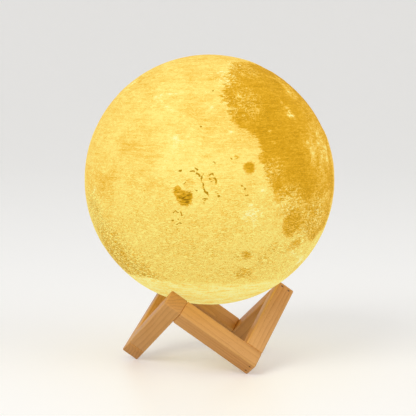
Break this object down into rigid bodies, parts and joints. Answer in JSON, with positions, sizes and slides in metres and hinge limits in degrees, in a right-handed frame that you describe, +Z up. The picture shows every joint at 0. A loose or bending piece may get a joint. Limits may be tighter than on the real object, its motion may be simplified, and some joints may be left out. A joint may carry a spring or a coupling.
{
  "type": "moon lamp",
  "caption": "Hollow globe lamp with the Moon's relief and a lit base that twists out, resting on a zigzag ring of square wooden bars pinned with brads.",
  "frame": {"origin": "on the floor, on the globe's vertical axis, midway between the three feet", "axes": "+Z up along the globe's vertical axis; -Y is the front, as pictured; +X to the viewer's right"},
  "size_m": [0.15, 0.15, 0.185],
  "materials": {
    "wood": "satin",
    "brads": "satin",
    "moon_print": "layered print, lit from inside",
    "collar": "satin",
    "housing": "satin",
    "touch_metal": "brushed",
    "contact_metal": "satin",
    "socket_metal": "satin",
    "lens": "clear",
    "board": "gloss",
    "chips": "matt",
    "foam": "matt",
    "cell": "satin",
    "lead": "matt",
    "screws": "satin",
    "led_plate": "satin",
    "led": "lit",
    "diffuser": "milky"
  },
  "bodies": {
    "stand": {"rising_bar_1": "wood", "rising_bar_2": "wood", "rising_bar_3": "wood", "falling_bar_1": "wood", "falling_bar_2": "wood", "falling_bar_3": "wood", "tip_brads": "brads", "foot_brads": "brads"},
    "globe": {"moon_shell": "moon_print", "shell_collar": "collar"},
    "light_base": {"base_cup": "housing", "touch_ring": "touch_metal", "touch_contact": "contact_metal", "charging_socket": "socket_metal", "status_lens": "lens", "main_board": "board", "board_chips": "chips", "battery_pad": "foam", "battery_cell": "cell", "battery_lead": "lead", "led_cover": "housing", "cover_screws": "screws", "led_board": "led_plate", "led_chips": "led", "led_lead": "lead", "diffuser_cap": "diffuser"}
  },
  "joints": [
    {"name": "globe_lift", "type": "slide", "parent": "stand", "child": "globe", "axis": [0, 0, 1], "range_m": [0, 0.08]},
    {"name": "base_twist", "type": "hinge", "parent": "globe", "child": "light_base", "pos_m": [0, 0, 0.03659], "axis": [0, 0, 1], "range_deg": [0, 45]}
  ]
}
